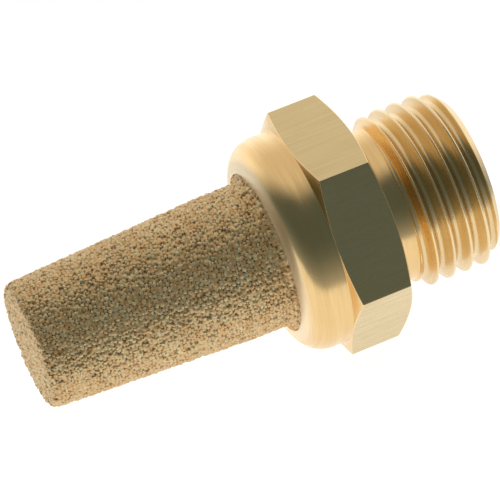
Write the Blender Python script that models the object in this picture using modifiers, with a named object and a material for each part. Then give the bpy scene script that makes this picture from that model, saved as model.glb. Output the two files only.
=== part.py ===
"""Screw-in pneumatic muffler: a turned brass body that holds a sintered bronze element.

The muffler lies on one flat of its hexagon. World +X runs along its axis towards the threaded inlet, the
element's tip points to -X, and the origin is under its middle, on the surface it lies on.

Every shape is made standing up on the local Z axis, with the inlet at the top. The empty "muffler_axis"
then lays local +Z along world +X. Sizes are in metres. A "station" is a distance along the axis, counted
from the inlet's end face towards the tip.
"""

import math

import bmesh
import bpy
from mathutils import Matrix, Vector

MM = 0.001

# Stations where one stretch of the muffler ends and the next begins.
THREAD_END = 6.0 * MM
HEX_START = 8.0 * MM
HEX_END = 12.6 * MM
SEAT = 13.25 * MM
LIP = 15.73 * MM
TIP = 34.0 * MM

# Thread: G1/4, right-handed, with the crests and roots cut flat.
THREAD_MAJOR_RADIUS = 13.157 / 2 * MM
THREAD_PITCH = 1.337 * MM
THREAD_DEPTH = 0.856 * MM
THREAD_FLAT = THREAD_PITCH / 6
THREAD_LEAD_IN = 0.93 * MM
THREAD_RUN_OUT = 0.7 * MM
NECK_RADIUS = 5.7 * MM

# Hexagon, and the turned chamfers that cut its corners.
HEX_ACROSS_FLATS = 16.0 * MM
HEX_CORNER_RADIUS = HEX_ACROSS_FLATS / math.sqrt(3)
INLET_FACE_RADIUS = 7.8 * MM
INLET_CHAMFER = 0.51 * MM
COLLAR_CHAMFER = 0.40 * MM

# Collar, whose rounded shoulder ends in the rolled lip.
COLLAR_RADIUS = 7.98 * MM
SHOULDER_RADIUS = 1.98 * MM
LIP_RADIUS = COLLAR_RADIUS - SHOULDER_RADIUS
LIP_LAND = 0.25 * MM

# Hollow inside of the body.
BORE_RADIUS = 4.0 * MM
BORE_CHAMFER = 0.3 * MM
COUNTERBORE_RADIUS = 6.95 * MM

# Sintered element: a tapered thimble with a flange.
FIT_GAP = 0.3 * MM
ELEMENT_TIP_RADIUS = 4.72 * MM
ELEMENT_BASE_RADIUS = 5.43 * MM
ELEMENT_STRAIGHT = 3.0 * MM
ELEMENT_TIP_ROUND = 0.55 * MM
ELEMENT_WALL = 1.5 * MM

ROUND_STEPS = 48
ARC_STEPS = 6
THREAD_STEPS = 36
CUT_MARGIN = 1.0 * MM
MERGE_DISTANCE = 0.001 * MM
SHARP_ANGLE = math.radians(30)


def height(station):
    """The local Z of a station, with the muffler's middle at zero."""
    return TIP / 2 - station


def rounded_corner(centre_radius, centre_station, radius):
    """Profile points of a quarter round, from its outermost point to its last station."""
    points = []
    for step in range(ARC_STEPS + 1):
        angle = math.pi / 2 * step / ARC_STEPS
        across = radius * math.cos(angle)
        along = radius * math.sin(angle)
        points.append((centre_radius + across, centre_station + along))
    return points


def make_collection(name):
    collection = bpy.data.collections.new(name)
    bpy.context.scene.collection.children.link(collection)
    return collection


def make_axis(collection):
    """The empty that lays every piece along world X, as high as a hexagon flat holds the axis."""
    axis = bpy.data.objects.new("muffler_axis", None)
    collection.objects.link(axis)
    axis.location = (0, 0, HEX_ACROSS_FLATS / 2)
    axis.rotation_euler = (0, math.pi / 2, 0)


def add_object(name, sketch, collection):
    """An object on the muffler's axis, with the sketch as its mesh."""
    mesh = bpy.data.meshes.new(name)
    sketch.to_mesh(mesh)
    sketch.free()
    made = bpy.data.objects.new(name, mesh)
    collection.objects.link(made)
    made.parent = bpy.data.objects["muffler_axis"]
    return made


def turned(name, profile, collection):
    """A turned solid from (radius, station) points, which run from the axis on the inlet's side, down the
    outside, and back to the axis."""
    sketch = bmesh.new()
    points = [sketch.verts.new((radius, 0, height(station))) for radius, station in profile]
    for first, second in zip(points, points[1:]):
        sketch.edges.new((first, second))
    made = add_object(name, sketch, collection)
    screw = made.modifiers.new("Turn", "SCREW")
    screw.axis = "Z"
    screw.steps = ROUND_STEPS
    screw.render_steps = ROUND_STEPS
    screw.use_merge_vertices = True
    screw.merge_threshold = MERGE_DISTANCE
    return made


def combine(made, operation, cutter):
    """Cuts made with the cutter, which then isn't part of the muffler."""
    boolean = made.modifiers.new(f"{operation.title()} {cutter.name}", "BOOLEAN")
    boolean.operation = operation
    boolean.solver = "EXACT"
    boolean.object = cutter
    cutter.hide_render = True
    cutter.display_type = "WIRE"


def round_envelope(cutters):
    """What turning leaves of the bar: thread blank, neck, chamfered hexagon, collar and shoulder."""
    outside = HEX_CORNER_RADIUS + CUT_MARGIN
    inlet_slope = INLET_CHAMFER / (HEX_CORNER_RADIUS - INLET_FACE_RADIUS)
    collar_slope = COLLAR_CHAMFER / (HEX_CORNER_RADIUS - COLLAR_RADIUS)
    profile = [
        (0, 0),
        (THREAD_MAJOR_RADIUS - THREAD_LEAD_IN, 0),
        (THREAD_MAJOR_RADIUS, THREAD_LEAD_IN),
        (THREAD_MAJOR_RADIUS, THREAD_END - THREAD_RUN_OUT / 2),
        (NECK_RADIUS, THREAD_END + THREAD_RUN_OUT / 2),
        (NECK_RADIUS, HEX_START),
        (INLET_FACE_RADIUS, HEX_START),
        (outside, HEX_START + inlet_slope * (outside - INLET_FACE_RADIUS)),
        (outside, HEX_END - collar_slope * (outside - COLLAR_RADIUS)),
        (COLLAR_RADIUS, HEX_END),
    ]
    profile += rounded_corner(LIP_RADIUS, LIP - SHOULDER_RADIUS, SHOULDER_RADIUS)
    profile.append((0, LIP))
    return turned("round_envelope", profile, cutters)


def thread_groove(cutters):
    """The helical groove between the thread's crests: a V section swept round the axis and up it."""
    root = THREAD_MAJOR_RADIUS - THREAD_DEPTH
    outside = THREAD_MAJOR_RADIUS + CUT_MARGIN
    half_root = THREAD_FLAT / 2
    half_mouth = (THREAD_PITCH - THREAD_FLAT) / 2
    half_section = [(root, half_root), (THREAD_MAJOR_RADIUS, half_mouth), (outside, half_mouth)]
    section = half_section + [(radius, -along) for radius, along in reversed(half_section)]
    lowest = height(THREAD_END) - THREAD_PITCH / 2
    turns = math.ceil(THREAD_END / THREAD_PITCH) + 1

    sketch = bmesh.new()
    corners = [sketch.verts.new((radius, 0, lowest + along)) for radius, along in section]
    face = sketch.faces.new(corners)
    bmesh.ops.spin(
        sketch,
        geom=[face, *face.edges, *face.verts],
        cent=(0, 0, 0),
        axis=(0, 0, 1),
        dvec=Vector((0, 0, THREAD_PITCH / THREAD_STEPS)),
        angle=2 * math.pi * turns,
        steps=THREAD_STEPS * turns,
    )
    bmesh.ops.recalc_face_normals(sketch, faces=sketch.faces)
    return add_object("thread_groove", sketch, cutters)


def body_hollow(cutters):
    """The bore up to the element's seat, the counterbore, and the cone under the rolled lip."""
    cone = COUNTERBORE_RADIUS - LIP_RADIUS
    profile = [
        (0, -CUT_MARGIN),
        (BORE_RADIUS + BORE_CHAMFER, -CUT_MARGIN),
        (BORE_RADIUS + BORE_CHAMFER, 0),
        (BORE_RADIUS, BORE_CHAMFER),
        (BORE_RADIUS, SEAT),
        (COUNTERBORE_RADIUS, SEAT),
        (COUNTERBORE_RADIUS, LIP - LIP_LAND - cone),
        (LIP_RADIUS, LIP - LIP_LAND),
        (LIP_RADIUS, LIP + CUT_MARGIN),
        (0, LIP + CUT_MARGIN),
    ]
    return turned("body_hollow", profile, cutters)


def threaded_body(parts, cutters):
    """The body: a hexagon bar with two flats across local X, turned, threaded and bored."""
    length = LIP + 2 * CUT_MARGIN
    sketch = bmesh.new()
    bmesh.ops.create_cone(
        sketch,
        cap_ends=True,
        segments=6,
        radius1=HEX_CORNER_RADIUS,
        radius2=HEX_CORNER_RADIUS,
        depth=length,
        matrix=Matrix.Translation((0, 0, height(LIP / 2))),
    )
    body = add_object("threaded_body", sketch, parts)
    combine(body, "INTERSECT", round_envelope(cutters))
    combine(body, "DIFFERENCE", thread_groove(cutters))
    combine(body, "DIFFERENCE", body_hollow(cutters))
    return body


def sintered_element(parts):
    """The element: its flange lies on the body's seat, and its upper edge is bevelled to go under the lip."""
    seat = SEAT + FIT_GAP
    flange_radius = COUNTERBORE_RADIUS - FIT_GAP
    step_radius = LIP_RADIUS - FIT_GAP
    taper_start = LIP + ELEMENT_STRAIGHT
    chamber_end = TIP - ELEMENT_WALL
    profile = [
        (0, chamber_end),
        (ELEMENT_TIP_RADIUS - ELEMENT_WALL, chamber_end),
        (ELEMENT_BASE_RADIUS - ELEMENT_WALL, taper_start),
        (ELEMENT_BASE_RADIUS - ELEMENT_WALL, seat),
        (flange_radius, seat),
        (flange_radius, LIP - LIP_LAND - (flange_radius - step_radius)),
        (step_radius, LIP - LIP_LAND),
        (step_radius, LIP),
        (ELEMENT_BASE_RADIUS, LIP),
        (ELEMENT_BASE_RADIUS, taper_start),
    ]
    round_centre = ELEMENT_TIP_RADIUS - ELEMENT_TIP_ROUND
    profile += rounded_corner(round_centre, TIP - ELEMENT_TIP_ROUND, ELEMENT_TIP_ROUND)
    profile.append((0, TIP))
    return turned("sintered_element", profile, parts)


def principled(name, colour, metallic, roughness):
    material = bpy.data.materials.new(name)
    material.use_nodes = True
    shader = material.node_tree.nodes["Principled BSDF"]
    shader.inputs["Base Color"].default_value = (*colour, 1)
    shader.inputs["Metallic"].default_value = metallic
    shader.inputs["Roughness"].default_value = roughness
    return material


def finish(part, material):
    """Makes the part's modifiers into its own mesh, gives it its material and shades it smooth."""
    graph = bpy.context.evaluated_depsgraph_get()
    mesh = bpy.data.meshes.new_from_object(part.evaluated_get(graph))
    part.modifiers.clear()
    part.data = mesh
    mesh.name = part.name
    mesh.materials.clear()
    mesh.materials.append(material)
    mesh.shade_smooth()
    mesh.set_sharp_from_angle(angle=SHARP_ANGLE)


def main():
    for old in list(bpy.data.objects):
        bpy.data.objects.remove(old, do_unlink=True)
    parts = make_collection("pneumatic_muffler")
    cutters = make_collection("cutters")
    make_axis(parts)
    body = threaded_body(parts, cutters)
    element = sintered_element(parts)
    finish(body, principled("brass", (0.80, 0.62, 0.28), 1.0, 0.22))
    finish(element, principled("sintered_bronze", (0.42, 0.31, 0.18), 0.6, 0.75))


main()
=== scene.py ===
"""Looks of the pneumatic muffler: turned brass body and sintered bronze element, on a lit white table.

The muffler lies along X with its threaded inlet at +X. A "station" is a distance along its axis, counted
from the inlet's end face towards the element's tip. Lengths are in metres unless a name ends in MM. Named
angles are in degrees, and those that functions pass on are in radians. Colours are in linear light.
"""

import math

import bmesh
import bpy
import numpy as np
from mathutils import Matrix, Vector, geometry


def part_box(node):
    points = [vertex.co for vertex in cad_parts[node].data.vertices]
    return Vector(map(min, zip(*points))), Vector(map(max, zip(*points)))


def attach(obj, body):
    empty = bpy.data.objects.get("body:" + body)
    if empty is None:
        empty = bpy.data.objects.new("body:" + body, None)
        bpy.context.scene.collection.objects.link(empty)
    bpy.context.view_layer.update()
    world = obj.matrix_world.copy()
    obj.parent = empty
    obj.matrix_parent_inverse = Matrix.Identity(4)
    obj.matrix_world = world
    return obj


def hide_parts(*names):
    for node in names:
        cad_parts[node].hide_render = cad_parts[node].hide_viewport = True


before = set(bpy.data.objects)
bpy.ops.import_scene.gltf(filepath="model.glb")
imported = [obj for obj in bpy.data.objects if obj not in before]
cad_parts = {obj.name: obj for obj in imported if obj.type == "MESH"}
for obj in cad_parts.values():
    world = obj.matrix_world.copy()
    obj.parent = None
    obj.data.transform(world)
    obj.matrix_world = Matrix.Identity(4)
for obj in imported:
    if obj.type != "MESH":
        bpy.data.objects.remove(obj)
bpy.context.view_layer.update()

MM = 0.001

# The frame: where the two parts are, and the axis that they share.
BODY_LOW, BODY_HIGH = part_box("threaded_body")
ELEMENT_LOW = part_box("sintered_element")[0]
AXIS_Z = (BODY_LOW.z + BODY_HIGH.z) / 2
INLET_X = BODY_HIGH.x
LIP = INLET_X - BODY_LOW.x
TIP = INLET_X - ELEMENT_LOW.x
ACROSS_FLATS = BODY_HIGH.z - BODY_LOW.z

# Body, by stations and radii.
THREAD_MAJOR_RADIUS = 6.5785 * MM
THREAD_PITCH = 1.337 * MM
THREAD_DEPTH = 0.640327 * THREAD_PITCH
THREAD_FLANK = 27.5
WHITWORTH_ROUNDING = 0.137329 * THREAD_PITCH
CREST_ROUNDING = 0.45 * WHITWORTH_ROUNDING
ROOT_ROUNDING = 1.55 * WHITWORTH_ROUNDING
THREAD_END = 6.35 * MM
THREAD_LEAD_IN = 0.93 * MM
THREAD_RUN_OUT = 0.70 * MM
THREAD_BLEND = 0.04 * MM
NECK_RADIUS = 5.70 * MM
HEX_START = 8.0 * MM
HEX_END = 12.6 * MM
INLET_FACE_RADIUS = 7.8 * MM
INLET_CHAMFER_SLOPE = 0.51 / 1.44
COLLAR_RADIUS = 7.98 * MM
COLLAR_CHAMFER_SLOPE = 0.40 / 1.26
HEX_CORNER_ROUND = 0.12 * MM
SHOULDER_RADIUS = 1.98 * MM
LIP_RADIUS = COLLAR_RADIUS - SHOULDER_RADIUS
LIP_INNER_RADIUS = LIP_RADIUS - 0.04 * MM
LIP_EDGE = LIP - 0.02 * MM
LIP_LAND_END = LIP - 0.25 * MM
LIP_UNDERSIDE = LIP - 1.20 * MM
# From here to the lip's edge the lip is rougher, and painted paler as a painted highlight.
LIP_FINISH_AND_HIGHLIGHT_FROM = LIP - 0.45 * MM
BORE_RADIUS = 4.0 * MM
BORE_CHAMFER = 0.3 * MM
COUNTERBORE_RADIUS = 6.95 * MM
SEAT = 13.25 * MM

# Element, by stations and radii. The step is what shows of its flange inside the lip.
STEP_RADIUS = 5.95 * MM
STEP_LENGTH = 0.10 * MM
STEP_EASE = 0.12 * MM
BASE_RADIUS = 5.43 * MM
TIP_RADIUS = 4.72 * MM
TIP_ROUND = 0.55 * MM
STRAIGHT = 3.0 * MM
WALL = 1.5 * MM
FLANGE_RADIUS = 6.7 * MM
FLANGE_UNDER_LIP = LIP - 1.0 * MM

# Beads. Edge and jitter are shares of the way to the next bead. What is shown of a bead, and the depths of
# open and narrow pores, are shares of its radius.
BEAD_SEED = 7
BEAD_PITCH = 0.30 * MM
BEAD_RADIUS = 0.155 * MM
BEAD_EDGE = 0.38
BEAD_JITTER = 0.36
BEAD_SHOWN = 0.92
BEAD_HEIGHTS_MM = (-0.07, 0.02)
SUNKEN_BEADS = 0.10
SUNKEN_DEPTH = 0.10 * MM
OPEN_PORES = 0.55
OPEN_DEPTH = (0.9, 1.8)
NECK_DEPTH = (0.4, 0.9)

# How far down in a pore a point is, for its colour, which painted shade and oxide darken there: 0 on a
# bead's top, 1 at an open pore's bottom. A tone is 0 for a coppery bead and 1 for a golden one.
RING_PORE = 0.10
NECK_PORE = 0.42
# The hollow counts as partway down a pore, so it gets painted shade inside.
HOLLOW_PAINTED_SHADE = 0.6
HOLLOW_TONE = 0.4

# Fineness of the meshes, and the bends from which an edge keeps its crease. With a weight over 50, large
# faces count for more in the shading of an edge.
THREAD_ROWS_PER_TURN = 24
SHOULDER_STEPS = 24
TIP_ROUND_STEPS = 6
OUTLINE_SAMPLES = 1200
OUTLINE_SMOOTHING = 15
MERGE_DISTANCE = 0.0002 * MM
BODY_SHARP_FROM = 40
ELEMENT_SHARP_FROM = 75
LARGE_FACE_WEIGHT = 60

# Brass, as its colour where bright and where dull. Amounts are shares, from 0 to 1.
TURNED_BRASS = ((0.87, 0.63, 0.31), (0.79, 0.55, 0.26))
DRAWN_BRASS = ((0.75, 0.60, 0.33), (0.68, 0.54, 0.29))
CUT_BRASS = ((0.83, 0.64, 0.36), (0.75, 0.56, 0.30))
WORN_EDGE = (1.0, 0.86, 0.58)
# The lip's paler colour is a painted highlight, standing in for bright light reflected from the tip's side.
PAINTED_LIP_HIGHLIGHT = (1.0, 0.88, 0.66)
TURNED_ROUGHNESS = 0.21
DRAWN_ROUGHNESS = 0.27
CUT_ROUGHNESS = 0.26
DULL_PATCHES = 0.55
FINE_STREAKS = 0.10
COARSE_STREAKS = 0.18
WEAR_BRIGHTNESS = 0.35
WEAR_SMOOTHNESS = 0.04
SATIN_ROUGHNESS = 0.35
COARSE_MARKS = 0.6
MARK_BUMP = 0.12
MARK_HEIGHT = 0.0025 * MM
MARKS_ROUND_AXIS = 0.35
MARKS_ALONG_BAR = 0.05

# Bronze.
COPPERY_BEAD = (0.93, 0.54, 0.20)
GOLDEN_BEAD = (1.0, 0.80, 0.43)
BROWN_PATCH = (0.78, 0.46, 0.18)
# Pale specks painted on the beads as glints.
PAINTED_GLINT = (1.0, 0.88, 0.64)
# Painted shade and oxide, darkest down in the open pores.
PORE_SHADE_AND_OXIDE = (0.10, 0.042, 0.012)
BRONZE_SHEEN = (1.0, 0.88, 0.72)
SHEEN_WEIGHT = 0.45
SHEEN_ROUGHNESS = 0.4
BROWN_PATCHES = 0.35
# How much the painted glints lighten a bead.
PAINTED_GLINTS = 0.5
# How far painted shade and oxide darken the bottom of an open pore.
PORE_SHADE_AND_OXIDE_SHARE = 0.92
SPECK_BUMP = 0.5
SPECK_HEIGHT = 0.006 * MM

# Camera.
CAMERA_TOWARD = (-0.211, -0.749, 0.628)
CAMERA_DISTANCE = 260 * MM
CAMERA_LENS = 264.9
CAMERA_ROLL = 11.7
AIM_STATION = 16.89 * MM
AIM_ABOVE = 0.6 * MM

# Floor.
FLOOR_REACH = 33 * MM
FLOOR_STRETCH = 2.0
FLOOR_TOWARD_TIP = 28 * MM
FLOOR_BELOW = 0.01 * MM
FLOOR_GLOW = 0.94
FLOOR_LIGHT = (0.36, 0.36, 0.36)
FLOOR_DARK = (0.33, 0.335, 0.34)

# Studio. The light is full within one angle from its middle and gone beyond another.
LIGHT_TOWARD = (0.27, 0.85, 0.46)
LIGHT_FULL_WITHIN = 55
LIGHT_NONE_BEYOND = 77
LIGHT_HIGH = (0.80, 0.76, 0.70)
LIGHT_LOW = (1.27, 1.27, 1.27)
LIGHT_LOW_BELOW = 38
ROOM_DARK = (0.092, 0.122, 0.124)
ROOM_LOW = (0.39, 0.42, 0.42)
ROOM_LOW_FROM = 32
ROOM_LOW_TO = -14


# ---------------------------------------------------------------- body


def column_angles():
    """Angles round the axis, closer together at the hexagon's corners. They are made in degrees."""
    near_corner = [0, 0.13, 0.26, 0.38, 0.65, 1.2, 2.4]
    half_sector = near_corner + list(np.linspace(4, 30, 14))
    sector = half_sector[:-1] + [60 - angle for angle in reversed(half_sector)][:-1]
    angles = [corner * 60 + angle for corner in range(6) for angle in sector] + [360]
    return np.radians(angles)


def hexagon_radius(angles):
    """Radius of the hexagon's outline, with rounded corners at whole multiples of 60 degrees."""
    apothem = ACROSS_FLATS / 2
    from_corner = (angles + math.pi / 6) % (math.pi / 3) - math.pi / 6
    from_flat = math.pi / 6 - np.abs(from_corner)
    flat = apothem / np.cos(from_flat)
    centre = (apothem - HEX_CORNER_ROUND) / math.cos(math.pi / 6)
    across = centre * np.sin(from_corner)
    tangent = math.pi / 6 - math.atan(centre / 2 / apothem)
    inside = np.maximum(HEX_CORNER_ROUND**2 - across**2, 0)
    corner = centre * np.cos(from_corner) + np.sqrt(inside)
    return np.where(np.abs(from_corner) < tangent, corner, flat)


def soft_minimum(first, second, blend):
    share = np.clip(0.5 + 0.5 * (second - first) / blend, 0, 1)
    return second * (1 - share) + first * share - blend * share * (1 - share)


def thread_radius(station, angles):
    """Straight flanks with round crests and roots. The crests are sharper than Whitworth's, and the roots
    rounder."""
    flank = math.radians(THREAD_FLANK)
    phase = (station / THREAD_PITCH + angles / (2 * math.pi)) % 1
    from_crest = np.abs(phase - 0.5) * THREAD_PITCH
    from_root = THREAD_PITCH / 2 - from_crest
    crest_tangent = CREST_ROUNDING * math.cos(flank)
    root_tangent = ROOT_ROUNDING * math.cos(flank)
    crest_centre = THREAD_MAJOR_RADIUS - CREST_ROUNDING
    root_centre = THREAD_MAJOR_RADIUS - THREAD_DEPTH + ROOT_ROUNDING
    crest = crest_centre + np.sqrt(np.maximum(CREST_ROUNDING**2 - from_crest**2, 0))
    root = root_centre - np.sqrt(np.maximum(ROOT_ROUNDING**2 - from_root**2, 0))
    crest_end = crest_centre + CREST_ROUNDING * math.sin(flank)
    straight = crest_end - (from_crest - crest_tangent) / math.tan(flank)
    below_crest = np.where(from_root < root_tangent, root, straight)
    return np.where(from_crest < crest_tangent, crest, below_crest)


def thread_rows(angles):
    """Rows that follow the helix from the inlet's face to the neck. Rows beyond an end pile up on it."""
    step = THREAD_PITCH / THREAD_ROWS_PER_TURN
    shift = THREAD_PITCH * angles / (2 * math.pi)
    face_radius = THREAD_MAJOR_RADIUS - THREAD_LEAD_IN
    end_slope = (THREAD_MAJOR_RADIUS - NECK_RADIUS) / THREAD_RUN_OUT
    rows = []
    for index in range(math.ceil((THREAD_END + THREAD_PITCH) / step) + 1):
        station = np.clip(index * step - shift, 0, THREAD_END)
        lead_in = face_radius + station
        run_out = NECK_RADIUS + (THREAD_END - station) * end_slope
        envelope = np.minimum(lead_in, run_out)
        radius = soft_minimum(envelope, thread_radius(station, angles), THREAD_BLEND)
        rows.append((station, radius))
    return rows


def softened(corners, steps=4):
    """Rows along an outline whose corners are eased by a short curve, as deburring leaves them.

    A corner is a point and a setback: how far from it the curve starts."""
    shortest = 1e-9
    most_of_edge = 0.45
    rows = []
    for index, (corner, setback) in enumerate(corners):
        if not setback:
            rows.append((corner[0], corner[1]))
            continue
        before = corners[index - 1][0] - corner
        after = corners[index + 1][0] - corner
        length_before = np.maximum(np.hypot(*before), shortest)
        length_after = np.maximum(np.hypot(*after), shortest)
        start = corner + before * np.minimum(setback / length_before, most_of_edge)
        end = corner + after * np.minimum(setback / length_after, most_of_edge)
        for share in np.linspace(0, 1, steps + 1):
            eased = start * (1 - share) ** 2 + corner * 2 * share * (1 - share) + end * share**2
            rows.append((eased[0], eased[1]))
    return rows


def body_rows(angles):
    """The body's closed outline at each angle, from the seat through the bore and back over the outside."""
    hexagon = hexagon_radius(angles)

    def point(station, radius):
        return np.array([station + 0 * angles, radius + 0 * angles])

    inlet_chamfer = HEX_START + INLET_CHAMFER_SLOPE * (hexagon - INLET_FACE_RADIUS)
    collar_chamfer = HEX_END - COLLAR_CHAMFER_SLOPE * (hexagon - COLLAR_RADIUS)
    before_thread = [
        (point(SEAT, BORE_RADIUS), 0),
        (point(BORE_CHAMFER, BORE_RADIUS), 0.05 * MM),
        (point(0, BORE_RADIUS + BORE_CHAMFER), 0.05 * MM),
        (point(0, THREAD_MAJOR_RADIUS - THREAD_LEAD_IN - 0.01 * MM), 0),
    ]
    # The first point only gives the run-out's direction, and its row is left out.
    after_thread = [
        (point(THREAD_END - 0.2 * MM, NECK_RADIUS + 0.2 * MM), 0),
        (point(THREAD_END, NECK_RADIUS), 0.1 * MM),
        (point(HEX_START, NECK_RADIUS), 0.18 * MM),
        (point(HEX_START, INLET_FACE_RADIUS), 0.06 * MM),
        (point(inlet_chamfer, hexagon), 0.07 * MM),
        (point(collar_chamfer, hexagon), 0.07 * MM),
        (point(HEX_END, COLLAR_RADIUS), 0.04 * MM),
    ]
    for step in range(SHOULDER_STEPS + 1):
        turn = math.pi / 2 * step / SHOULDER_STEPS
        along = LIP - SHOULDER_RADIUS * (1 - math.sin(turn))
        after_thread.append((point(along, LIP_RADIUS + SHOULDER_RADIUS * math.cos(turn)), 0))
    after_thread += [
        (point(LIP_EDGE, LIP_INNER_RADIUS), 0),
        (point(LIP_LAND_END, LIP_INNER_RADIUS), 0),
        (point(LIP_UNDERSIDE, COUNTERBORE_RADIUS), 0),
        (point(SEAT, COUNTERBORE_RADIUS), 0),
    ]
    return softened(before_thread) + thread_rows(angles) + softened(after_thread)[1:]


def mesh_from_rows(name, rows, angles):
    """A surface from rows of (station, radius) at each angle. The last row joins the first."""
    station = np.array([row[0] + 0 * angles for row in rows])
    radius = np.array([row[1] + 0 * angles for row in rows])
    x = INLET_X - station
    y = radius * np.cos(angles)
    z = AXIS_Z + radius * np.sin(angles)
    count, columns = station.shape
    points = np.stack([x, y, z], axis=-1).reshape(-1, 3)
    faces = []
    for row in range(count):
        first = row * columns
        second = (row + 1) % count * columns
        for column in range(columns - 1):
            faces.append((first + column, first + column + 1, second + column + 1, second + column))
    mesh = bpy.data.meshes.new(name)
    mesh.from_pydata(points.tolist(), [], faces)
    return mesh


def finish_body_mesh(mesh):
    """Merges what coincides, turns the faces outwards, and marks each face's finish, the worn edges and the
    lip, which is rougher and carries a painted highlight."""
    least_bend = 6
    full_bend = 26
    sketch = bmesh.new()
    sketch.from_mesh(mesh)
    bmesh.ops.remove_doubles(sketch, verts=sketch.verts, dist=MERGE_DISTANCE)
    bmesh.ops.recalc_face_normals(sketch, faces=sketch.faces)
    for face in sketch.faces:
        face.smooth = True
        face.material_index = body_material_index(face.calc_center_median(), face.normal)
    wear = sketch.verts.layers.float.new("wear")
    # How far into the lip a point is: rougher there, and painted paler as a painted highlight.
    satin_and_painted_highlight = sketch.verts.layers.float.new("satin_and_painted_highlight")
    for vert in sketch.verts:
        to_lip = (INLET_X - vert.co.x - LIP_FINISH_AND_HIGHLIGHT_FROM) / (LIP - LIP_FINISH_AND_HIGHLIGHT_FROM)
        vert[satin_and_painted_highlight] = min(max(to_lip, 0), 1)
        bend = math.degrees(max(edge.calc_face_angle_signed(0) for edge in vert.link_edges))
        vert[wear] = min(max((bend - least_bend) / (full_bend - least_bend), 0), 1)
    sketch.to_mesh(mesh)
    sketch.free()


def body_material_index(centre, normal):
    """0 for turned faces, 1 for the hexagon's drawn flats, 2 for the thread."""
    station = INLET_X - centre.x
    radius = math.hypot(centre.y, centre.z - AXIS_Z)
    faces_outwards = abs(normal.x) < 0.05
    on_hexagon = HEX_START < station < HEX_END and radius > COLLAR_RADIUS - 0.01 * MM
    if on_hexagon and faces_outwards:
        return 1
    outside_bore = radius > BORE_RADIUS + 0.5 * MM
    on_thread = 0.02 * MM < station < THREAD_END - 0.1 * MM and outside_bore
    return 2 if on_thread else 0


def make_body(turned_brass, drawn_brass, cut_brass):
    angles = column_angles()
    mesh = mesh_from_rows("brass_body", body_rows(angles), angles)
    finish_body_mesh(mesh)
    for material in (turned_brass, drawn_brass, cut_brass):
        mesh.materials.append(material)
    mesh.set_sharp_from_angle(angle=math.radians(BODY_SHARP_FROM))
    body = bpy.data.objects.new("brass_body", mesh)
    bpy.context.scene.collection.objects.link(body)
    weighted = body.modifiers.new("Flat faces stay flat", "WEIGHTED_NORMAL")
    weighted.keep_sharp = True
    weighted.weight = LARGE_FACE_WEIGHT
    return body


# ---------------------------------------------------------------- element


def element_outline():
    """Stations and radii of the element's outside, from the lip over the step to the tip's middle."""
    step_end = LIP + STEP_LENGTH
    points = [(LIP, STEP_RADIUS), (step_end, STEP_RADIUS - STEP_EASE)]
    points += [(step_end, BASE_RADIUS + STEP_EASE), (step_end + STEP_EASE, BASE_RADIUS)]
    points += [(LIP + STRAIGHT, BASE_RADIUS), (TIP - TIP_ROUND, TIP_RADIUS)]
    for step in range(1, TIP_ROUND_STEPS + 1):
        turn = math.pi / 2 * step / TIP_ROUND_STEPS
        along = TIP - TIP_ROUND * (1 - math.sin(turn))
        points.append((along, TIP_RADIUS - TIP_ROUND * (1 - math.cos(turn))))
    points.append((TIP, 0.0))
    return np.array(points)


class Outside:
    """The element's outside as a sheet: an angle round the axis, and a distance along the outline."""

    def __init__(self):
        points = element_outline()
        lengths = np.hypot(*np.diff(points, axis=0).T)
        along = np.concatenate([[0], np.cumsum(lengths)])
        self.total = along[-1]
        self.along = np.linspace(0, self.total, OUTLINE_SAMPLES)
        self.station = np.interp(self.along, along, points[:, 0])
        self.radius = np.interp(self.along, along, points[:, 1])
        along_station = self.smooth(np.gradient(self.station, self.along))
        along_radius = self.smooth(np.gradient(self.radius, self.along))
        slope = np.stack([along_station, along_radius])
        slope /= np.hypot(*slope)
        self.out_station, self.out_radius = -slope[1], slope[0]

    def smooth(self, values):
        """Evens a slope out along the outline, so that beads near its corners don't lean suddenly."""
        kernel = np.hanning(OUTLINE_SMOOTHING)
        padded = np.pad(values, OUTLINE_SMOOTHING // 2, mode="edge")
        return np.convolve(padded, kernel / kernel.sum(), "valid")

    def place(self, angle, along, height):
        station = np.interp(along, self.along, self.station)
        radius = np.interp(along, self.along, self.radius)
        station = station + np.interp(along, self.along, self.out_station) * height
        radius = radius + np.interp(along, self.along, self.out_radius) * height
        x = INLET_X - station
        return np.stack([x, radius * np.cos(angle), AXIS_Z + radius * np.sin(angle)], axis=-1)


def wall_chart(random, around, length):
    """Bead places on the unrolled wall, in loosely packed rows, and the triangles between neighbours.

    The first and last rows are even, and the last one is also the tip's outermost ring."""
    girth = around * BEAD_PITCH
    rows = round(length / (BEAD_PITCH * math.sqrt(3) / 2))
    places = []
    for row in range(rows + 1):
        even = row in (0, rows)
        jitter = random.uniform(-BEAD_JITTER, BEAD_JITTER, (around, 2)) * (not even)
        shift = random.uniform(0, 1) * (not even)
        across = (np.arange(around) + shift + jitter[:, 0]) * BEAD_PITCH
        along = row * length / rows + jitter[:, 1] * BEAD_PITCH
        places.append(np.stack([across % girth, along], axis=-1))
    places = np.concatenate(places)

    # The ends are lapped, so that the wall's triangles close all the way round.
    index = np.arange(len(places))
    lapped = 6 * BEAD_PITCH
    near_end = places[:, 0] > girth - lapped
    near_start = places[:, 0] < lapped
    turn = np.array([girth, 0])
    spread = np.concatenate([places, places[near_end] - turn, places[near_start] + turn])
    source = np.concatenate([index, index[near_end], index[near_start]])

    def in_first_turn(triangle):
        return 0 <= spread[triangle, 0].mean() < girth

    def surface(place):
        return 2 * math.pi * place[0] / girth, place[1]

    triangles = [triangle for triangle in neighbours(spread) if in_first_turn(triangle)]
    return spread, source, triangles, surface


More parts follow.
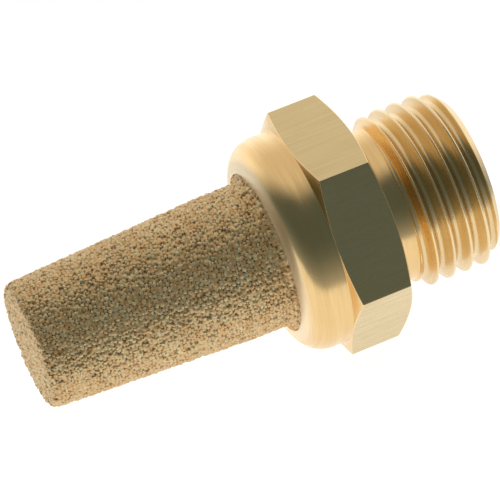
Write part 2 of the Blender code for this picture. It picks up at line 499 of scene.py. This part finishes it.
def tip_chart(random, outline_length, around, reach, first_bead, ring_start):
    """Bead places on the flattened tip: the wall's last row as a ring, and loosely packed rows inside it."""
    turn = 2 * math.pi * np.arange(around) / around
    ring = np.stack([reach * np.cos(turn), reach * np.sin(turn)], axis=-1)
    rows = math.ceil(1.2 * reach / BEAD_PITCH)
    room = reach - 0.7 * BEAD_PITCH
    inside = []
    for row in range(-rows, rows + 1):
        for column in range(-rows, rows + 1):
            jitter = random.uniform(-BEAD_JITTER, BEAD_JITTER, 2)
            across = (column + 0.5 * (row % 2) + jitter[0]) * BEAD_PITCH
            along = (row * math.sqrt(3) / 2 + jitter[1]) * BEAD_PITCH
            if math.hypot(across, along) < room:
                inside.append((across, along))
    spread = np.concatenate([ring, np.array(inside)])
    source = np.concatenate([ring_start + np.arange(around), first_bead + np.arange(len(inside))])

    def surface(place):
        return math.atan2(place[1], place[0]), outline_length - math.hypot(*place)

    return spread, source, neighbours(spread), surface


def neighbours(spread):
    """Triangles between the points nearest to each other."""
    whole_hull = 0
    places = [Vector(place) for place in spread / MM]
    triangles = geometry.delaunay_2d_cdt(places, [], [], whole_hull, 1e-6)[2]
    return [np.array(triangle) for triangle in triangles]


class BeadNet:
    """A net of bead centres made into bumps: a top on each bead, a ring round it, a pore in each triangle.

    About half of the pores are open. The others are shallow, where three beads have fused."""

    def __init__(self, random, beads):
        self.random = random
        sunken = random.uniform(0, 1, beads) < SUNKEN_BEADS
        self.top_height = random.uniform(*BEAD_HEIGHTS_MM, beads) * MM - sunken * SUNKEN_DEPTH
        self.top_tone = random.uniform(0, 1, beads)
        self.index_of = {}
        self.rows = []
        self.faces = []

    def add(self, key, surface, height, tone, pore):
        """The index of a point: angle, distance along the outline, height, bead's tone, depth in a pore."""
        if key in self.index_of:
            return self.index_of[key]
        self.rows.append((*surface, height, tone, pore))
        index = len(self.rows) - 1
        if key is not None:
            self.index_of[key] = index
        return index

    def add_chart(self, spread, source, triangles, surface):
        def top(here):
            bead = source[here]
            return self.add(bead, surface(spread[here]), self.top_height[bead], self.top_tone[bead], 0)

        def ring(here, other):
            bead = source[here]
            step = spread[other] - spread[here]
            reach = min(BEAD_EDGE * math.hypot(*step), BEAD_SHOWN * BEAD_RADIUS)
            drop = BEAD_RADIUS - math.sqrt(BEAD_RADIUS**2 - reach**2)
            place = surface(spread[here] + step * BEAD_EDGE)
            height = self.top_height[bead] - drop
            return self.add((bead, source[other]), place, height, self.top_tone[bead], RING_PORE)

        def pore(triangle):
            is_open = self.random.uniform() < OPEN_PORES
            depth = self.random.uniform(*(OPEN_DEPTH if is_open else NECK_DEPTH)) * BEAD_RADIUS
            place = surface(spread[triangle].mean(axis=0))
            tone = self.top_tone[source[triangle]].mean()
            return self.add(None, place, -depth, tone, 1 if is_open else NECK_PORE)

        for triangle in triangles:
            middle = pore(triangle)
            loop = []
            for step in range(3):
                before, here, after = np.roll(triangle, -step)
                self.faces.append((top(here), ring(here, after), ring(here, before)))
                loop += [ring(here, before), ring(here, after)]
            for first, second in zip(loop, loop[1:] + loop[:1]):
                self.faces.append((middle, first, second))


def hollow_side(sketch, tone_layer, pore_layer):
    """Carries the sheet's open edge on under the lip, round the flange and through the hollow to its end.

    Blender makes the extruded faces in no fixed order. So the order in which they are stored differs from
    run to run, though the shape doesn't."""
    hollow = BASE_RADIUS - WALL
    outline = [(LIP_LAND_END, STEP_RADIUS), (FLANGE_UNDER_LIP, FLANGE_RADIUS), (SEAT, FLANGE_RADIUS)]
    outline += [(SEAT, hollow), (LIP + STRAIGHT, hollow), (TIP - WALL, TIP_RADIUS - WALL)]
    edges = [edge for edge in sketch.edges if edge.is_boundary]
    for station, radius in outline:
        made = bmesh.ops.extrude_edge_only(sketch, edges=edges)["geom"]
        edges = [item for item in made if isinstance(item, bmesh.types.BMEdge)]
        for vert in (item for item in made if isinstance(item, bmesh.types.BMVert)):
            angle = math.atan2(vert.co.z - AXIS_Z, vert.co.y)
            vert.co = (INLET_X - station, radius * math.cos(angle), AXIS_Z + radius * math.sin(angle))
            vert[tone_layer] = HOLLOW_TONE
            # Painted shade inside the hollow, through its depth in a pore.
            vert[pore_layer] = HOLLOW_PAINTED_SHADE
    bmesh.ops.contextual_create(sketch, geom=edges)


def make_element(bronze):
    """The element: beads over its wall and tip, and a plain flange and hollow."""
    random = np.random.default_rng(BEAD_SEED)
    outside = Outside()
    around = round(math.pi * (BASE_RADIUS + TIP_RADIUS) / BEAD_PITCH)
    reach = TIP_RADIUS - TIP_ROUND + math.pi / 2 * TIP_ROUND
    wall = wall_chart(random, around, outside.total - reach)
    wall_beads = 1 + max(wall[1])
    tip = tip_chart(random, outside.total, around, reach, wall_beads, wall_beads - around)
    net = BeadNet(random, 1 + max(tip[1]))
    net.add_chart(*wall)
    net.add_chart(*tip)
    angle, along, height, tone, pore = np.array(net.rows).T
    mesh = bpy.data.meshes.new("bronze_element")
    mesh.from_pydata(outside.place(angle, along, height).tolist(), [], net.faces)
    for name, values in (("tone", tone), ("pore", pore)):
        layer = mesh.attributes.new(name, "FLOAT", "POINT")
        layer.data.foreach_set("value", values.astype(np.float32))

    sketch = bmesh.new()
    sketch.from_mesh(mesh)
    layers = sketch.verts.layers.float
    hollow_side(sketch, layers["tone"], layers["pore"])
    bmesh.ops.recalc_face_normals(sketch, faces=sketch.faces)
    for face in sketch.faces:
        face.smooth = True
    sketch.to_mesh(mesh)
    sketch.free()
    mesh.set_sharp_from_angle(angle=math.radians(ELEMENT_SHARP_FROM))
    mesh.materials.append(bronze)
    element = bpy.data.objects.new("bronze_element", mesh)
    bpy.context.scene.collection.objects.link(element)
    return element


# ---------------------------------------------------------------- materials


def add_node(tree, kind, settings=None, **inputs):
    """A node with its settings and inputs. An input is a value or another node's output.

    An input's name is its socket's, or i and the socket's number."""
    made = tree.nodes.new(kind)
    for name, value in (settings or {}).items():
        setattr(made, name, value)
    for name, value in inputs.items():
        socket = made.inputs[int(name[1:]) if name[1:].isdigit() else name]
        if isinstance(value, bpy.types.NodeSocket):
            tree.links.new(value, socket)
        else:
            socket.default_value = value
    return made


def attribute(tree, name):
    return add_node(tree, "ShaderNodeAttribute", {"attribute_name": name}).outputs["Fac"]


def maths(tree, operation, first, second=0.0):
    made = add_node(tree, "ShaderNodeMath", {"operation": operation}, i0=first, i1=second)
    return made.outputs[0]


def colour_input(colour):
    """A colour's three numbers as a socket takes them, or a node's output as it is."""
    return (*colour, 1) if isinstance(colour, tuple) else colour


def blend_colours(tree, share, first, second, kind="MIX"):
    settings = {"data_type": "RGBA", "blend_type": kind}
    colours = {"i6": colour_input(first), "i7": colour_input(second)}
    return add_node(tree, "ShaderNodeMix", settings, i0=share, **colours).outputs[2]


def spread_range(tree, value, old, new):
    """The value carried from its old range to a new one, and no further than the new one's ends."""
    ends = {"i1": old[0], "i2": old[1], "i3": new[0], "i4": new[1]}
    return add_node(tree, "ShaderNodeMapRange", None, i0=value, **ends).outputs[0]


def noise(tree, place, scale, detail=3.0, roughness=0.55):
    """Soft noise at a place: a vector and a fourth coordinate."""
    vector, fourth = place
    look = {"Vector": vector, "W": fourth, "Scale": scale, "Detail": detail, "Roughness": roughness}
    return add_node(tree, "ShaderNodeTexNoise", {"noise_dimensions": "4D"}, **look).outputs[0]


def new_material(name):
    material = bpy.data.materials.new(name)
    material.use_nodes = True
    tree = material.node_tree
    return material, tree, tree.nodes["Principled BSDF"]


def raise_surface(tree, shader, height, strength, distance):
    inputs = {"Strength": strength, "Distance": distance, "Height": height}
    bump = add_node(tree, "ShaderNodeBump", None, **inputs)
    tree.links.new(bump.outputs[0], shader.inputs["Normal"])


def object_place(tree):
    """A place on the object in metres, with a fourth coordinate of 0."""
    return add_node(tree, "ShaderNodeTexCoord").outputs["Object"], 0.0


def grain_place(tree, kind):
    """A place in millimetres, drawn out along the tool's marks: round the axis, or along the bar.

    The fourth coordinate lets the marks go all the way round without a seam."""
    split = add_node(tree, "ShaderNodeSeparateXYZ", None, i0=object_place(tree)[0])
    x = maths(tree, "DIVIDE", split.outputs[0], MM)
    y = maths(tree, "DIVIDE", split.outputs[1], MM)
    z = maths(tree, "DIVIDE", maths(tree, "SUBTRACT", split.outputs[2], AXIS_Z), MM)
    if kind == "turned":
        squares = maths(tree, "ADD", maths(tree, "MULTIPLY", y, y), maths(tree, "MULTIPLY", z, z))
        radius = maths(tree, "POWER", squares, 0.5)
        y_share = maths(tree, "MULTIPLY", maths(tree, "DIVIDE", y, radius), MARKS_ROUND_AXIS)
        z_share = maths(tree, "MULTIPLY", maths(tree, "DIVIDE", z, radius), MARKS_ROUND_AXIS)
        around = add_node(tree, "ShaderNodeCombineXYZ", None, X=x, Y=radius, Z=y_share)
        return around.outputs[0], z_share
    drawn_x = maths(tree, "MULTIPLY", x, MARKS_ALONG_BAR)
    along = add_node(tree, "ShaderNodeCombineXYZ", None, X=drawn_x, Y=y, Z=z)
    return along.outputs[0], 0.0


def brass(name, kind, roughness, colours):
    """Bright brass with tool marks, a little duller in patches, edges worn bright, a rougher lip with a
    painted highlight.
    """
    bright, dull = colours
    material, tree, shader = new_material(name)
    marks = grain_place(tree, kind)
    fine = noise(tree, marks, scale=14.0, detail=4.0, roughness=0.65)
    coarse = noise(tree, marks, scale=3.0, detail=2.0)
    patches = noise(tree, object_place(tree), scale=220.0)
    wear = attribute(tree, "wear")
    satin_and_painted_highlight = attribute(tree, "satin_and_painted_highlight")

    patched = spread_range(tree, patches, (0.35, 0.75), (0, DULL_PATCHES))
    fine_streaks = spread_range(tree, fine, (0.3, 0.7), (0, FINE_STREAKS))
    coarse_streaks = spread_range(tree, coarse, (0.38, 0.62), (0, COARSE_STREAKS))
    colour = blend_colours(tree, patched, bright, dull)
    colour = blend_colours(tree, fine_streaks, colour, dull, "MULTIPLY")
    colour = blend_colours(tree, coarse_streaks, colour, dull, "MULTIPLY")
    colour = blend_colours(tree, maths(tree, "MULTIPLY", wear, WEAR_BRIGHTNESS), colour, WORN_EDGE)
    # Painted highlight: the lip is painted paler, as if it reflected bright light.
    colour = blend_colours(tree, satin_and_painted_highlight, colour, PAINTED_LIP_HIGHLIGHT)
    tree.links.new(colour, shader.inputs["Base Color"])

    rough = spread_range(tree, fine, (0.25, 0.75), (roughness - 0.05, roughness + 0.06))
    rough = maths(tree, "ADD", rough, spread_range(tree, patches, (0.3, 0.7), (-0.02, 0.04)))
    rough = maths(tree, "ADD", rough, spread_range(tree, coarse, (0.3, 0.7), (-0.03, 0.03)))
    rough = maths(tree, "ADD", rough, maths(tree, "MULTIPLY", satin_and_painted_highlight, SATIN_ROUGHNESS))
    rough = maths(tree, "SUBTRACT", rough, maths(tree, "MULTIPLY", wear, WEAR_SMOOTHNESS))
    tree.links.new(rough, shader.inputs["Roughness"])
    shader.inputs["Metallic"].default_value = 1.0

    height = maths(tree, "ADD", fine, maths(tree, "MULTIPLY", coarse, COARSE_MARKS))
    raise_surface(tree, shader, height, MARK_BUMP, MARK_HEIGHT)
    return material


def sintered_bronze(name):
    """Bronze beads that differ a little in colour, with painted glints, and dark in the pores with painted
    shade and oxide.
    """
    material, tree, shader = new_material(name)
    place = object_place(tree)
    patches = noise(tree, place, scale=260.0, detail=4.0)
    specks = noise(tree, place, scale=6000.0)
    pore = attribute(tree, "pore")

    bead = blend_colours(tree, attribute(tree, "tone"), COPPERY_BEAD, GOLDEN_BEAD)
    brown = spread_range(tree, patches, (0.35, 0.7), (0, BROWN_PATCHES))
    # Painted glints: pale specks in the beads' colour.
    bright = spread_range(tree, specks, (0.45, 0.8), (0, PAINTED_GLINTS))
    # Painted shade and oxide: the deeper down a pore, the darker the colour.
    dark = spread_range(tree, pore, (0.08, 0.8), (0, PORE_SHADE_AND_OXIDE_SHARE))
    bead = blend_colours(tree, brown, bead, BROWN_PATCH)
    # Pale specks painted in as glints.
    bead = blend_colours(tree, bright, bead, PAINTED_GLINT)
    # The pores darkened with painted shade and oxide.
    shaded = blend_colours(tree, dark, bead, PORE_SHADE_AND_OXIDE)
    tree.links.new(shaded, shader.inputs["Base Color"])
    tree.links.new(spread_range(tree, specks, (0.3, 0.7), (0.36, 0.55)), shader.inputs["Roughness"])
    tree.links.new(spread_range(tree, pore, (0.0, 1.0), (0.5, 0.3)), shader.inputs["Metallic"])
    shader.inputs["Sheen Weight"].default_value = SHEEN_WEIGHT
    shader.inputs["Sheen Roughness"].default_value = SHEEN_ROUGHNESS
    shader.inputs["Sheen Tint"].default_value = (*BRONZE_SHEEN, 1)
    raise_surface(tree, shader, specks, SPECK_BUMP, SPECK_HEIGHT)
    return material


# ---------------------------------------------------------------- stage


def make_floor():
    """A white table that glows, so that shadows on it stay pale. It is small, so that it shows in the brass
    only low down."""
    sketch = bmesh.new()
    bmesh.ops.create_grid(sketch, x_segments=8, y_segments=8, size=FLOOR_REACH)
    mesh = bpy.data.meshes.new("table")
    sketch.to_mesh(mesh)
    sketch.free()
    floor = bpy.data.objects.new("table", mesh)
    floor.location = (-FLOOR_TOWARD_TIP, 0, BODY_LOW.z - FLOOR_BELOW)
    floor.scale = (FLOOR_STRETCH, 1, 1)
    bpy.context.scene.collection.objects.link(floor)
    material, tree, shader = new_material("white_table")
    shade = noise(tree, object_place(tree), scale=40.0)
    white = blend_colours(tree, spread_range(tree, shade, (0.3, 0.7), (0, 1)), FLOOR_LIGHT, FLOOR_DARK)
    tree.links.new(white, shader.inputs["Base Color"])
    tree.links.new(spread_range(tree, shade, (0.3, 0.7), (0.6, 0.75)), shader.inputs["Roughness"])
    shader.inputs["Emission Color"].default_value = (1, 1, 1, 1)
    shader.inputs["Emission Strength"].default_value = FLOOR_GLOW
    mesh.materials.append(material)


def make_studio():
    """One broad soft light above and behind the muffler, a little to its inlet's side, brightest low down.
    The rest of the room is dark and slightly blue, and paler low down. The camera sees it white."""
    world = bpy.data.worlds.new("studio")
    bpy.context.scene.world = world
    world.use_nodes = True
    tree = world.node_tree
    background = tree.nodes["Background"]
    direction = add_node(tree, "ShaderNodeTexCoord").outputs["Generated"]
    height = add_node(tree, "ShaderNodeSeparateXYZ", None, i0=direction).outputs[2]

    middle = Vector(LIGHT_TOWARD).normalized()
    dot = add_node(tree, "ShaderNodeVectorMath", {"operation": "DOT_PRODUCT"}, i0=direction, i1=middle)
    outer = math.cos(math.radians(LIGHT_NONE_BEYOND))
    inner = math.cos(math.radians(LIGHT_FULL_WITHIN))
    lit = spread_range(tree, dot.outputs["Value"], (outer, inner), (0, 1))

    low = spread_range(tree, height, (0.0, math.sin(math.radians(LIGHT_LOW_BELOW))), (1, 0))
    light = blend_colours(tree, low, LIGHT_HIGH, LIGHT_LOW)
    dark_above = math.sin(math.radians(ROOM_LOW_FROM))
    pale_below = math.sin(math.radians(ROOM_LOW_TO))
    paler = spread_range(tree, height, (dark_above, pale_below), (0, 1))
    unlit = blend_colours(tree, maths(tree, "MULTIPLY", paler, paler), ROOM_DARK, ROOM_LOW)
    room = blend_colours(tree, lit, unlit, light)
    seen = add_node(tree, "ShaderNodeLightPath").outputs["Is Camera Ray"]
    tree.links.new(blend_colours(tree, seen, room, (1, 1, 1)), background.inputs["Color"])
    background.inputs["Strength"].default_value = 1.0


def make_camera():
    """A long lens, above and in front of the muffler and a little towards its tip, rolled to its slant."""
    toward = Vector(CAMERA_TOWARD).normalized()
    level = Vector((0, 0, 1)).cross(toward).normalized()
    upright = toward.cross(level)
    roll = math.radians(CAMERA_ROLL)
    right = level * math.cos(roll) - upright * math.sin(roll)
    up = level * math.sin(roll) + upright * math.cos(roll)
    target = Vector((INLET_X - AIM_STATION, 0, AXIS_Z)) + up * AIM_ABOVE
    place = target + toward * CAMERA_DISTANCE
    data = bpy.data.cameras.new("camera")
    data.lens = CAMERA_LENS
    data.sensor_width = 36
    data.clip_start = 0.001
    data.clip_end = 10
    camera = bpy.data.objects.new("camera", data)
    rotation = Matrix((right, up, toward)).transposed().to_4x4()
    camera.matrix_world = Matrix.Translation(place) @ rotation
    bpy.context.scene.collection.objects.link(camera)
    bpy.context.scene.camera = camera


def main():
    bpy.context.scene.view_settings.view_transform = "Standard"
    make_camera()
    make_studio()
    make_floor()
    body = make_body(
        brass("turned_brass", "turned", TURNED_ROUGHNESS, TURNED_BRASS),
        brass("drawn_brass", "drawn", DRAWN_ROUGHNESS, DRAWN_BRASS),
        brass("cut_brass", "turned", CUT_ROUGHNESS, CUT_BRASS),
    )
    element = make_element(sintered_bronze("sintered_bronze"))
    stands_for = ((body, "threaded_body", "brass"), (element, "sintered_element", "sintered_bronze"))
    for piece, node, slot in stands_for:
        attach(piece, "root")
        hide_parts(node)


main()
bpy.context.view_layer.update()
